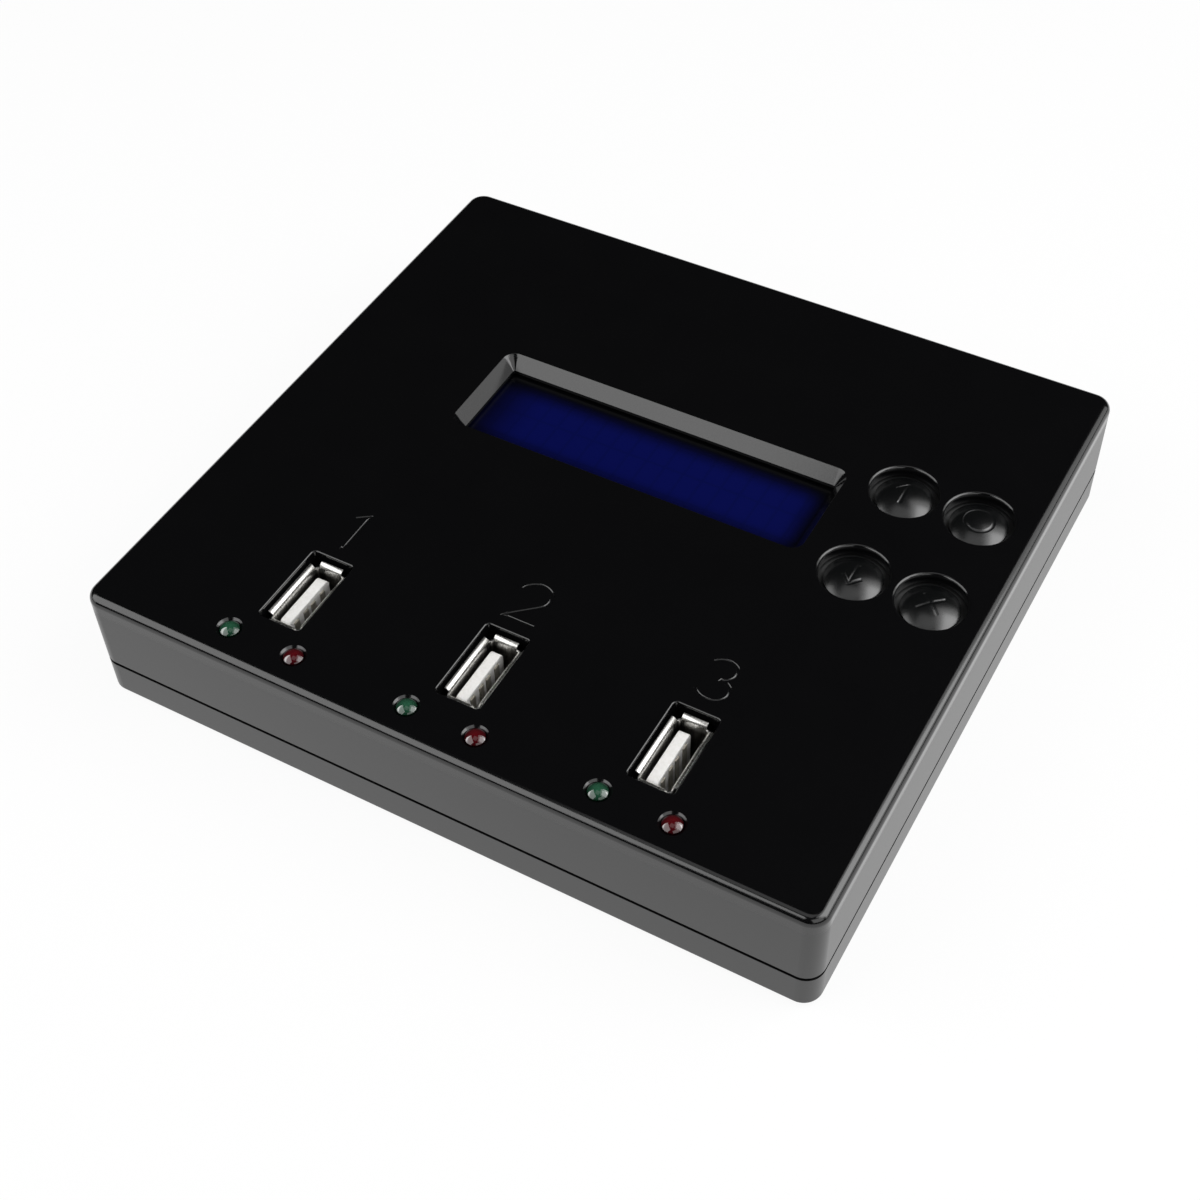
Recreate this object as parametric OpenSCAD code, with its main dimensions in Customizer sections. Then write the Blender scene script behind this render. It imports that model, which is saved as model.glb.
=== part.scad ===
// Desktop USB flash drive duplicator: a flat two-piece plastic case with three upright USB
// sockets, a pair of indicator lights beside each socket, a character display and four keys.
// Millimetres. X runs along the front edge, +Y to the back, +Z up from the surface it stands on.

/* [Case] */
// Width of the case, left to right
case_w = 130; // [124:1:150]
// Depth of the case, front to back
case_d = 121; // [114:1:140]
// Height of the case without its feet
case_h = 22.3; // [21.5:0.1:28]
// Thickness of the walls, the roof and the floor
wall = 2; // [1.6:0.1:2.4]
// Radius of the upright corners
corner_r = 3.2; // [2.8:0.1:6]
// Rounding of the roof's outer edge
top_round = 1.5; // [0.6:0.1:1.6]
// Rounding of the floor's outer edge
base_round = 0.6; // [0.3:0.1:1.2]
// Height of the parting line above the case's floor
split_h = 7; // [6:0.1:8]
// Height of the groove that shows along the parting line
reveal = 0.7; // [0.3:0.1:0.8]
// Height of the lower case's lip above the parting line
lip_h = 1.5; // [1:0.1:2.5]
// Thickness of the lower case's lip
lip_t = 0.9; // [0.7:0.05:1]
// Clearance between the lip and its rebate, and between other fixed pieces that slide together
fit_gap = 0.1; // [0.05:0.01:0.15]

/* [Sockets] */
// Distance between neighbouring sockets
port_pitch = 33.1; // [28:0.1:36]
// Distance from the front wall to the middle of the sockets
port_inset = 18; // [16:0.1:22]
// Offset of the socket row from the middle of the case
port_shift = -0.4; // [-2:0.1:2]
// Cut-out in the roof, across the socket
port_w = 7.8; // [7.4:0.1:9]
// Cut-out in the roof, along the socket
port_d = 15.4; // [14.6:0.1:17]
// Corner radius of the cut-out
port_r = 0.7; // [0.4:0.1:1.2]
// Rounding of the cut-out's rim
port_round = 0.3; // [0.2:0.05:0.5]
// Outer width of the socket's metal shell
shell_w = 5.8; // [5.6:0.1:6.2]
// Outer length of the socket's metal shell
shell_d = 13.2; // [13:0.1:13.8]
// Thickness of the shell's sheet metal
shell_t = 0.35; // [0.25:0.05:0.4]
// Height of the socket above the circuit board
usb_h = 14.2; // [13.6:0.1:15]
// How far the socket's mouth lies below the roof
mouth_sink = 1.1; // [0.8:0.1:1.6]
// Thickness of the contact tongue
tongue_t = 1.84; // [1.7:0.02:2]
// Width of the contact tongue
tongue_d = 11.1; // [10.6:0.1:11.4]
// Gap behind the tongue, to the shell's inner wall
tongue_gap = 0.65; // [0.5:0.05:0.9]
// How far the tongue's tip lies below the mouth
tongue_sink = 1.9; // [1:0.1:2.4]
// Corner radius of the tongue's tip
tip_r = 0.9; // [0.5:0.1:1.5]
// Height of the insulator's base
insulator_h = 3.5; // [2.5:0.1:4.5]
// Radius of the bend where the shell's lips flare outwards
flare_r = 0.95; // [0.6:0.05:1.1]
// Angle by which the lips flare
flare_turn = 88; // [45:1:88]

/* [Lights] */
// Distance of each light from the middle of its socket
led_offset = 6.1; // [5.8:0.1:7.5]
// Distance from the front wall to the lights
led_inset = 5.8; // [5.4:0.1:6.6]
// Diameter of a light's lens
led_d = 3.2; // [2.8:0.1:3.4]
// Height of a light from its flange to the tip of its dome
led_h = 5.3; // [4.6:0.1:6]
// Radius to which the dome is curved
led_dome_r = 2.2; // [1.8:0.1:3]
// How far the tip of the dome stands above the roof
led_proud = 0.5; // [0:0.1:0.8]
// Diameter of the countersink in the roof
led_sink_d = 4.3; // [4:0.1:5.2]

/* [Keys] */
// Distance from the right wall to the middle of the key block
key_inset = 16.6; // [15.5:0.1:18]
// Distance of the keys and the display in front of (-) or behind (+) the middle of the case
panel_y = 12; // [8:0.5:16]
// Distance between the key columns
key_pitch_x = 13.2; // [12.9:0.1:14]
// Distance between the key rows
key_pitch_y = 20.4; // [18:0.1:22]
// Diameter of the key holes
key_hole_d = 11.6; // [11:0.1:12]
// Rounding of the key holes' rims
key_round = 0.5; // [0.2:0.05:0.6]
// Diameter of a key's cap
key_d = 9.6; // [9:0.1:10]
// Height of the cap's dome
key_dome = 1.25; // [0.8:0.05:1.6]
// How far the top of the dome lies below the roof
key_sink = 0.35; // [0.1:0.05:0.7]
// Thickness of the cap's walls and flange
key_t = 1; // [0.8:0.1:1.2]
// Travel of a key
key_travel = 0.5; // [0.3:0.05:0.7]

/* [Display] */
// Width of the display recess at the roof
recess_w = 66.6; // [64:0.1:70]
// Depth of the display recess at the roof, front to back
recess_d = 20.4; // [19:0.1:22]
// Corner radius of the recess at the roof
recess_r = 2.2; // [2:0.1:3]
// Horizontal width of the recess's sloping walls
slope_w = 1.8; // [1.2:0.1:1.9]
// Height of the sloping walls
slope_h = 2.5; // [2.2:0.1:3]
// Height of the upright lip below the slopes
window_lip = 0.6; // [0.5:0.1:1.5]
// Rounding of the recess's rim
recess_round = 0.2; // [0.1:0.05:0.4]
// Gap between the recess and the key holes
recess_gap = 3.9; // [3:0.1:6]
// Height of the display's metal frame above its board
lcd_h = 8; // [7:0.1:9]
// How far the frame reaches past the recess on each side
frame_margin = 1.5; // [1.2:0.1:1.6]
// Thickness of the frame's sheet metal
frame_t = 0.5; // [0.4:0.05:0.6]
// Thickness of the display glass
glass_t = 2; // [1.6:0.1:2.4]
// How far the display's board reaches past the frame, left and right
lcd_edge_x = 2.2; // [1.5:0.1:2.5]
// How far the display's board reaches past the frame, front and back
lcd_edge_y = 6; // [5.6:0.1:7]

/* [Board and fasteners] */
// Thickness of the circuit boards
board_t = 1.6; // [1.2:0.1:2]
// Gap between the main board's edge and the walls
board_gap = 1.5; // [1:0.1:2]
// Distance from the outer walls to the case screws
screw_inset = 7.6; // [7.2:0.1:9]
// Thread diameter of the case screws
case_screw_d = 2.9; // [2.5:0.1:3]
// Diameter of the case screws' bosses
boss_d = 6.6; // [6:0.1:7]
// Diameter of the feet
foot_d = 9; // [7:0.5:11]
// Height of the feet below the case
foot_h = 1; // [0.6:0.1:2]
// Depth of the feet's seats in the floor
foot_seat = 0.3; // [0.2:0.05:0.5]

/* [Power inlet] */
// Distance from the left wall to the middle of the power inlet
jack_inset = 25; // [21:1:35]
// Width of the inlet's housing
jack_w = 9; // [8.6:0.1:10]
// Height of the inlet's housing
jack_h = 11; // [10.6:0.1:12]
// Height of the inlet's axis above the board
jack_axis = 6.5; // [6.3:0.1:7]
// Diameter of the inlet's bore
jack_bore_d = 6.3; // [6:0.1:6.5]
// Diameter of the inlet's centre pin
jack_pin_d = 2.1; // [2:0.1:2.5]

/* [Hidden] */
$fn = 96;
eps = 0.01;
over = 1;
skim = 1.01;

// Levels above the surface that the case stands on
floor_z = foot_h;
floor_top = floor_z + wall;
top_z = floor_z + case_h;
roof_under = top_z - wall;
split_z = floor_z + split_h;
lower_top = split_z - reveal / 2;
upper_bottom = split_z + reveal / 2;
lip_top = split_z + lip_h;
mouth_z = top_z - mouth_sink;
board_top = mouth_z - usb_h;
board_bottom = board_top - board_t;
pin_poke = 1.2;
pin_end = board_bottom - pin_poke;

// Main board and what holds it
board_w = case_w - 2 * (wall + board_gap);
board_d = case_d - 2 * (wall + board_gap);
boss_x = case_w / 2 - screw_inset;
boss_y = case_d / 2 - screw_inset;
boss_rise = 1;
boss_meet = board_top + boss_rise;
boss_clear = 0.6;
head_d = 5.4;
head_h = 1.8;
head_depth = 2.6;
head_seat = floor_z + head_depth;
thread_bite = 6;
pilot_spare = 1;
post_d = 5.5;
post_side = 9.5;
post_front = 31;
post_back = 23;
post_x = board_w / 2 - post_side;
post_y = [post_front - case_d / 2, case_d / 2 - post_back];
post_screw_d = 2.4;
board_head_d = 4.4;
board_head_h = 1.4;
post_bite = 2.6;
screw_play = 0.4;
cross_reach = 0.6;
cross_width = 0.25;
cross_depth = 1.1;

// Socket places and inner sizes
port_x = [for (i = [-1:1]) port_shift + i * port_pitch];
port_y = -case_d / 2 + port_inset;
shell_r = 0.8;
shell_in_w = shell_w - 2 * shell_t;
shell_in_d = shell_d - 2 * shell_t;
tongue_x = -shell_in_w / 2 + tongue_gap;
tongue_top = mouth_z - tongue_sink;
contact_w = 1.1;
contact_t = 0.3;
contact_inner = 1;
contact_outer = 3.5;
contact_y = [-contact_outer, -contact_inner, contact_inner, contact_outer];
contact_sink = 1.1;
contact_top = tongue_top - contact_sink;
contact_inset = 0.15;
contact_x = tongue_x + tongue_t - contact_inset;
slot_spare = 0.3;
shell_leg_w = 1.2;
shell_leg_y = 3.6;
collar_t = 1.2;
collar_h = 2.5;
spring_w = 1.9;
spring_h = 4.6;
spring_y = 2.6;
spring_rise = 1.6;
spring_z = board_top + insulator_h + spring_rise;
flare_z = mouth_z - flare_r * sin(flare_turn);

// Lights
led_y = -case_d / 2 + led_inset;
led_r = led_d / 2;
led_hole_r = led_r + fit_gap;
led_dome = led_dome_r - sqrt(led_dome_r * led_dome_r - led_r * led_r);
led_shoulder = led_h - led_dome;
led_flange = 0.4;
led_flange_r = led_r + led_flange;
led_flange_t = 1;
led_play = 0.3;
led_base = top_z + led_proud - led_h;
lead_t = 0.5;
lead_pitch = 2.54;
green_x = [for (x = port_x) x - led_offset];
red_x = [for (x = port_x) x + led_offset];
led_x = concat(green_x, red_x);

// Keys and their switches
key_x = case_w / 2 - key_inset;
key_places = [for (j = [1, -1], i = [-1, 1])
  [key_x + i * key_pitch_x / 2, panel_y + j * key_pitch_y / 2]];
key_r = key_d / 2;
key_top = top_z - key_sink;
key_rim = key_top - key_dome;
dome_r = (key_r * key_r + key_dome * key_dome) / (2 * key_dome);
key_skirt = 0.4;
key_play = 0.3;
flange_reach = 0.35;
flange_r = key_hole_d / 2 + flange_reach;
flange_top = roof_under - key_play;
guide_t = 0.3;
guide_h = 3.4;
guide_r = flange_r + key_play;
switch_w = 6;
switch_h = 3.5;
plunger_r = 1.75;
plunger_gap = 0.08;
plunger_rise = 2.5;
plunger_foot = 1.8;
plunger_top = board_top + switch_h + plunger_rise;
plunger_bottom = board_top + plunger_foot;
plunger_well = plunger_bottom - key_travel - key_play;
stem_r = 2.6;
leg_t = 0.3;
leg_w = 0.7;
leg_h = 1.2;
leg_y = 2.25;
leg_hole_r = 0.5;

// Display
recess_x = key_x - key_pitch_x / 2 - key_hole_d / 2 - recess_gap - recess_w / 2;
slope_z = top_z - slope_h;
window_z = slope_z - window_lip;
window_w = recess_w - 2 * slope_w;
window_d = recess_d - 2 * slope_w;
window_r = recess_r - slope_w;
funnel_t = 1.5;
frame_w = recess_w + 2 * frame_margin;
frame_d = recess_d + 2 * frame_margin;
frame_hide = 0.5;
frame_open_w = window_w + 2 * frame_hide;
frame_open_d = window_d + 2 * frame_hide;
glass_w = frame_w - 2 * (frame_t + fit_gap);
glass_d = frame_d - 2 * (frame_t + fit_gap);
lcd_board_top = window_z - lcd_h;
lcd_board_bottom = lcd_board_top - board_t;
lcd_board_w = frame_w + 2 * lcd_edge_x;
lcd_board_d = frame_d + 2 * lcd_edge_y;
lcd_boss_d = 4.4;
lcd_hole_in = 1.2;
lcd_hole_gap = 0.6;
lcd_hole = [frame_w / 2 - lcd_hole_in, frame_d / 2 + lcd_boss_d / 2 + lcd_hole_gap];
lcd_screw_d = 2;
lcd_head_d = 3.6;
lcd_head_h = 0.9;
lcd_bite = 3.5;
pin_count = 16;
pin_pitch = 2.54;
pin_t = 0.6;
pin_hole_r = 0.5;
pin_rise = 1;
header_inset = 2;
header_y = panel_y + frame_d / 2 + lcd_edge_y - header_inset;
header_d = 2.4;
header_x = [for (i = [0:pin_count - 1]) recess_x + (i - (pin_count - 1) / 2) * pin_pitch];

// Feet, power inlet and board parts
foot_inset = 17;
foot_x = case_w / 2 - foot_inset;
foot_y = case_d / 2 - foot_inset;
jack_len = 13;
jack_x = jack_inset - case_w / 2;
jack_y = case_d / 2 - wall;
jack_z = board_top + jack_axis;
jack_rim = 0.8;
jack_hole_d = jack_bore_d + 2 * jack_rim;
jack_shoulder = 0.5;
jack_barrel_d = jack_w - 2 * jack_shoulder;
jack_pin_sink = 1;
jack_nose = 1;
jack_flange_l = 3.2;
jack_bore_l = 9.4;
jack_contact_w = 4;
jack_contact_t = 0.4;
chip_row = 24;
chip_seat = 0.2;
chip_lead_t = 0.2;
controller_x = -11.4;
controller_at = [controller_x, port_y + chip_row];
controller_w = 14;
controller_h = 1.4;
controller_pins = 12;
controller_pitch = 1;
controller_reach = 1.4;
controller_lead_w = 0.4;
controller_rise = 0.6;
controller_lead = [controller_reach, controller_lead_w, controller_rise];
memory_x = 19.5;
memory_at = [memory_x, port_y + chip_row];
memory_w = 11;
memory_d = 18;
memory_h = 1;
memory_pins = 16;
memory_pitch = 1.1;
memory_reach = 1.1;
memory_lead_w = 0.45;
memory_rise = 0.5;
memory_lead = [memory_reach, memory_lead_w, memory_rise];
crystal_x = -33.5;
crystal_at = [crystal_x, port_y + chip_row];
crystal_w = 10.6;
crystal_d = 4.4;
crystal_r = 2;
crystal_h = 3.4;
power_inset = 15;
power_y = case_d / 2 - power_inset;
capacitor_count = 3;
capacitor_first = 16;
capacitor_pitch = 10;
capacitor_x = [for (i = [0:capacitor_count - 1]) jack_x + capacitor_first + i * capacitor_pitch];
capacitor_r = 3.15;
capacitor_h = 7.6;
crimp_z = 1.4;
crimp_r = 0.4;
inductor_off = 50;
inductor_x = jack_x + inductor_off;
inductor_w = 8;
inductor_r = 1.5;
inductor_h = 4;

// Copies of the children at each of a list of places
module at_each(places) {
  for (p = places) translate(p) children();
}

// Copies of the children at the four corners of a rectangle
module at_corners(x, y) {
  for (i = [-1, 1], j = [-1, 1]) translate([i * x, j * y, 0]) children();
}

// Sweep of an upright profile round a rectangle with round corners, or along its straight sides
// alone; the profile's x counts outwards from the corner's centre
module loop_sweep(w, d, r, corners = true) {
  for (i = [0:3]) {
    along = (i % 2 == 0) ? d - 2 * r : w - 2 * r;
    out = (i % 2 == 0) ? w / 2 - r : d / 2 - r;
    rotate([0, 0, 90 * i]) translate([out, along / 2, 0]) {
      rotate([90, 0, 0]) linear_extrude(along) children();
      if (corners) rotate_extrude(angle = 90) children();
    }
  }
}

// Upright block with round corners, between two levels
module round_block(w, d, r, z0, z1) {
  loop_sweep(w, d, r) translate([0, z0]) square([r, z1 - z0]);
  translate([r - w / 2, r - d / 2, z0]) cube([w - 2 * r, d - 2 * r, z1 - z0]);
}

// Upright tube with round corners, between two levels
module round_tube(w, d, r, t, z0, z1) {
  loop_sweep(w, d, r) translate([r - t, z0]) square([t, z1 - z0]);
}

// Corner of a profile that a rounding takes away, where a wall that leans by an angle from
// the level meets the roof at (x, z); the arc skims the tangents so that no sliver is left
module rim_cut(x, z, lean, r) {
  reach = r * tan(lean / 2);
  middle = [x + reach, z - r];
  difference() {
    polygon([[x, z], [x + reach, z], middle, [x - reach * cos(lean), z - reach * sin(lean)]]);
    translate(middle) circle(r * skim);
  }
}

// Quarter corner that a rounding takes off a square edge whose tip is at the origin
module edge_cut(r) {
  difference() {
    square(2 * r, center = true);
    translate([-r, -r]) circle(r);
  }
}

// Section of the upper case's roof edge and wall
module upper_section() {
  difference() {
    union() {
      translate([0, roof_under]) square([corner_r, wall]);
      translate([corner_r - wall, upper_bottom]) square([wall, top_z - upper_bottom]);
    }
    translate([corner_r - wall - over, upper_bottom - over])
      square([over + lip_t + fit_gap, over + lip_top - upper_bottom]);
    translate([corner_r, top_z]) edge_cut(top_round);
  }
}

// Section of the lower case's floor edge, wall and lip
module lower_section() {
  difference() {
    union() {
      translate([0, floor_z]) square([corner_r, wall]);
      translate([corner_r - wall, floor_z]) square([wall, lower_top - floor_z]);
      translate([corner_r - wall, floor_z]) square([lip_t, lip_top - floor_z]);
    }
    translate([corner_r, floor_z]) mirror([0, 1]) edge_cut(base_round);
  }
}

// Hole in the roof for one socket, with a rounded rim
module port_hole() {
  round_block(port_w, port_d, port_r, roof_under - collar_h - over, top_z);
  loop_sweep(port_w, port_d, port_r) rim_cut(port_r, top_z, 90, port_round);
}

// Hole in the roof for one key, with a rounded rim
module key_hole() {
  rotate_extrude() {
    translate([0, roof_under - over]) square([key_hole_d / 2, wall + over]);
    rim_cut(key_hole_d / 2, top_z, 90, key_round);
  }
}

// Hole in the roof for one light, with its countersink
module led_hole() {
  sink = led_sink_d / 2 - led_hole_r;
  translate([0, 0, led_base]) cylinder(h = top_z - led_base + over, r = led_hole_r);
  translate([0, 0, top_z - sink]) cylinder(h = sink, r1 = led_hole_r, r2 = led_sink_d / 2);
}

// Funnel of the display recess, with a rounded rim, down through its window
module recess_hole() {
  lean = atan(slope_h / slope_w);
  loop_sweep(recess_w, recess_d, recess_r) {
    polygon([[0, window_z - over], [window_r, window_z - over], [window_r, slope_z],
             [recess_r, top_z], [0, top_z]]);
    rim_cut(recess_r, top_z, lean, recess_round);
  }
  translate([recess_r - recess_w / 2, recess_r - recess_d / 2, window_z - over])
    cube([recess_w - 2 * recess_r, recess_d - 2 * recess_r, top_z - window_z + over]);
}

module upper_case() color("#17181a") {
  collar_z = roof_under - collar_h;
  led_collar_z = led_base + led_flange_t + led_play;
  funnel_w = recess_w + 2 * funnel_t - slope_w;
  funnel_d = recess_d + 2 * funnel_t - slope_w;
  difference() {
    union() {
      loop_sweep(case_w, case_d, corner_r) upper_section();
      translate([corner_r - case_w / 2, corner_r - case_d / 2, roof_under])
        cube([case_w - 2 * corner_r, case_d - 2 * corner_r, wall]);
      at_corners(boss_x, boss_y) translate([0, 0, boss_meet])
        cylinder(h = roof_under - boss_meet + eps, d = boss_d);
      for (x = port_x) translate([x, port_y, 0])
        round_block(port_w + 2 * collar_t, port_d + 2 * collar_t, port_r + collar_t,
                    collar_z, roof_under + eps);
      for (x = led_x) translate([x, led_y, led_collar_z])
        cylinder(h = roof_under - led_collar_z + eps, r = led_hole_r + collar_t);
      at_each(key_places) translate([0, 0, roof_under - guide_h])
        cylinder(h = guide_h + eps, r = guide_r + guide_t);
      translate([recess_x, panel_y, 0])
        round_block(funnel_w, funnel_d, recess_r, window_z, roof_under + eps);
      translate([recess_x, panel_y, lcd_board_top]) at_corners(lcd_hole[0], lcd_hole[1])
        cylinder(h = roof_under - lcd_board_top + eps, d = lcd_boss_d);
    }
    for (x = port_x) translate([x, port_y, 0]) port_hole();
    for (x = led_x) translate([x, led_y, 0]) led_hole();
    at_each(key_places) {
      key_hole();
      translate([0, 0, roof_under - guide_h - over]) cylinder(h = guide_h + over, r = guide_r);
    }
    translate([recess_x, panel_y, 0]) recess_hole();
    at_corners(boss_x, boss_y) translate([0, 0, boss_meet - over])
      cylinder(h = over + thread_bite + pilot_spare, d = case_screw_d + fit_gap);
    translate([recess_x, panel_y, lcd_board_top - over]) at_corners(lcd_hole[0], lcd_hole[1])
      cylinder(h = over + lcd_bite + pilot_spare, d = lcd_screw_d + fit_gap);
    translate([jack_x, case_d / 2 + over, jack_z]) rotate([90, 0, 0])
      cylinder(h = wall + 2 * over, d = jack_hole_d);
  }
}

module lower_case() color("#1a1b1d") {
  difference() {
    union() {
      loop_sweep(case_w, case_d, corner_r) lower_section();
      translate([corner_r - case_w / 2, corner_r - case_d / 2, floor_z])
        cube([case_w - 2 * corner_r, case_d - 2 * corner_r, wall]);
      at_corners(boss_x, boss_y) translate([0, 0, floor_top - eps])
        cylinder(h = boss_meet - floor_top + eps, d = boss_d);
      for (x = [-post_x, post_x], y = post_y) translate([x, y, floor_top - eps])
        cylinder(h = board_bottom - floor_top + eps, d = post_d);
    }
    at_corners(boss_x, boss_y) translate([0, 0, floor_z - over]) {
      cylinder(h = over + head_seat - floor_z, d = head_d + screw_play);
      cylinder(h = boss_meet - floor_z + 2 * over, d = case_screw_d + screw_play);
    }
    for (x = [-post_x, post_x], y = post_y) translate([x, y, floor_top])
      cylinder(h = board_bottom - floor_top + over, d = post_screw_d + fit_gap);
    at_corners(foot_x, foot_y) translate([0, 0, floor_z - over])
      cylinder(h = over + foot_seat, d = foot_d + 2 * fit_gap);
  }
}

module main_board() color("#1f5b33") {
  notch = screw_inset - wall - board_gap + boss_d / 2 + boss_clear;
  difference() {
    translate([-board_w / 2, -board_d / 2, board_bottom]) cube([board_w, board_d, board_t]);
    at_corners(board_w / 2, board_d / 2) translate([-notch, -notch, board_bottom - over])
      cube([2 * notch, 2 * notch, board_t + 2 * over]);
    for (x = [-post_x, post_x], y = post_y) translate([x, y, board_bottom - over])
      cylinder(h = board_t + 2 * over, d = post_screw_d + screw_play);
    for (x = port_x) translate([x, port_y, board_bottom - over]) {
      for (y = contact_y) translate([contact_x + contact_t / 2, y, 0])
        cylinder(h = board_t + 2 * over, r = contact_w / 2 + fit_gap);
      at_corners(shell_w / 2 - shell_t / 2, shell_leg_y)
        cylinder(h = board_t + 2 * over, r = shell_leg_w / 2 + fit_gap);
    }
    for (x = led_x, i = [-1, 1]) translate([x + i * lead_pitch / 2, led_y, board_bottom - over])
      cylinder(h = board_t + 2 * over, r = lead_t);
    at_each(key_places) at_corners(switch_w / 2 + leg_t / 2, leg_y)
      translate([0, 0, board_bottom - over]) cylinder(h = board_t + 2 * over, r = leg_hole_r);
    for (x = header_x) translate([x, header_y, board_bottom - over])
      cylinder(h = board_t + 2 * over, r = pin_hole_r);
    translate([jack_x - jack_contact_w / 2 - fit_gap, jack_y - jack_len - jack_contact_t - fit_gap,
               board_bottom - over])
      cube([jack_contact_w + 2 * fit_gap, jack_contact_t + 2 * fit_gap, board_t + 2 * over]);
  }
}

// Screw with its head's underside at the origin and its shank along +Z, with a cross recess
// whose size is a share of the head's
module pan_screw(d, length, wide, tall) {
  difference() {
    union() {
      cylinder(h = length, d = d);
      translate([0, 0, -tall]) cylinder(h = tall, d = wide);
    }
    for (a = [0, 90]) rotate([0, 0, a]) translate([0, 0, -tall])
      cube([wide * cross_reach, d * cross_width, tall * cross_depth], center = true);
  }
}

module case_screws() color("#3a3b3d")
  at_corners(boss_x, boss_y) translate([0, 0, head_seat])
    pan_screw(case_screw_d, boss_meet - head_seat + thread_bite, head_d, head_h);

module board_screws() color("#b9bcc0")
  for (x = [-post_x, post_x], y = post_y) translate([x, y, board_top]) rotate([180, 0, 0])
    pan_screw(post_screw_d, board_t + post_bite, board_head_d, board_head_h);

module feet() color("#202122")
  at_corners(foot_x, foot_y) rotate_extrude() difference() {
    square([foot_d / 2, foot_h + foot_seat]);
    translate([foot_d / 2, 0]) mirror([0, 1]) edge_cut(foot_h / 2);
  }

module lcd_board() color("#1d4f8a") {
  difference() {
    translate([recess_x - lcd_board_w / 2, panel_y - lcd_board_d / 2, lcd_board_bottom])
      cube([lcd_board_w, lcd_board_d, board_t]);
    translate([recess_x, panel_y, lcd_board_bottom - over]) at_corners(lcd_hole[0], lcd_hole[1])
      cylinder(h = board_t + 2 * over, d = lcd_screw_d + screw_play);
    for (x = header_x) translate([x, header_y, lcd_board_bottom - over])
      cylinder(h = board_t + 2 * over, r = pin_hole_r);
  }
}

module lcd_frame() color("#26272a") translate([recess_x, panel_y, 0]) {
  difference() {
    translate([-frame_w / 2, -frame_d / 2, lcd_board_top]) cube([frame_w, frame_d, lcd_h]);
    translate([frame_t - frame_w / 2, frame_t - frame_d / 2, lcd_board_top - over])
      cube([frame_w - 2 * frame_t, frame_d - 2 * frame_t, lcd_h - frame_t + over]);
    translate([-frame_open_w / 2, -frame_open_d / 2, lcd_board_top])
      cube([frame_open_w, frame_open_d, lcd_h + over]);
  }
}

module lcd_glass() color("#0d1252") translate([recess_x, panel_y, window_z - frame_t - glass_t])
  translate([-glass_w / 2, -glass_d / 2, 0]) cube([glass_w, glass_d, glass_t]);

module lcd_backlight() color("#e8ebf0") translate([recess_x, panel_y, lcd_board_top])
  translate([-glass_w / 2, -glass_d / 2, 0]) cube([glass_w, glass_d, lcd_h - frame_t - glass_t]);

module lcd_header() color("#141414") difference() {
  translate([header_x[0] - pin_pitch / 2, header_y - header_d / 2, board_top])
    cube([pin_count * pin_pitch, header_d, lcd_board_bottom - board_top]);
  for (x = header_x) translate([x, header_y, board_top - over])
    cylinder(h = lcd_board_bottom - board_top + 2 * over, r = pin_hole_r);
}

module lcd_pins() color("#c9a545")
  for (x = header_x) translate([x - pin_t / 2, header_y - pin_t / 2, pin_end])
    cube([pin_t, pin_t, lcd_board_top + pin_rise - pin_end]);

module lcd_screws() color("#b9bcc0")
  translate([recess_x, panel_y, lcd_board_bottom]) at_corners(lcd_hole[0], lcd_hole[1])
    pan_screw(lcd_screw_d, board_t + lcd_bite, lcd_head_d, lcd_head_h);

// Profile of a flared lip: sheet that bends outwards on top of a wall with its inner face at x = 0
module flare() {
  intersection() {
    translate([flare_r, 0]) difference() {
      circle(flare_r);
      circle(flare_r - shell_t);
    }
    polygon([[flare_r, 0], [-flare_r, 0], [-flare_r, 2 * flare_r * tan(flare_turn)]]);
  }
  translate([0, -eps]) square([shell_t, eps]);
}

// Metal shell of one socket: a tube with spring windows, four flared lips and four solder legs
module usb_shell(i) color("#c3c6ca") translate([port_x[i], port_y, 0]) {
  loop_sweep(shell_w, shell_d, shell_r, corners = false)
    translate([shell_r - shell_t, flare_z]) flare();
  difference() {
    round_tube(shell_w, shell_d, shell_r, shell_t, board_top, flare_z);
    for (y = [-spring_y, spring_y]) translate([-shell_w, y - spring_w / 2, spring_z])
      cube([2 * shell_w, spring_w, spring_h]);
  }
  at_corners(shell_w / 2 - shell_t / 2, shell_leg_y)
    translate([-shell_t / 2, -shell_leg_w / 2 + fit_gap, pin_end])
      cube([shell_t, shell_leg_w - 2 * fit_gap, board_top - pin_end + eps]);
}

// Outline of the contact tongue, seen from its broad side: a strip with rounded tip corners
module tongue_outline(h) {
  translate([-tongue_d / 2, 0]) square([tongue_d, h - tip_r]);
  translate([tip_r - tongue_d / 2, 0]) square([tongue_d - 2 * tip_r, h]);
  for (i = [-1, 1]) translate([i * (tongue_d / 2 - tip_r), h - tip_r]) circle(tip_r);
}

// White insulator of one socket: its base in the shell and the tongue with the contacts' slots
module usb_insulator(i) color("#e9e9e4") translate([port_x[i], port_y, 0]) {
  base_w = shell_in_w - 2 * fit_gap;
  base_d = shell_in_d - 2 * fit_gap;
  difference() {
    union() {
      round_block(base_w, base_d, shell_r - shell_t, board_top, board_top + insulator_h);
      translate([tongue_x, 0, board_top + insulator_h - eps]) rotate([90, 0, 90]) linear_extrude(tongue_t)
        tongue_outline(tongue_top - board_top - insulator_h + eps);
    }
    for (y = contact_y) translate([contact_x, y - contact_w / 2 - fit_gap, board_top - over])
      cube([contact_t + fit_gap, contact_w + 2 * fit_gap, contact_top + slot_spare - board_top + over]);
  }
}

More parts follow.
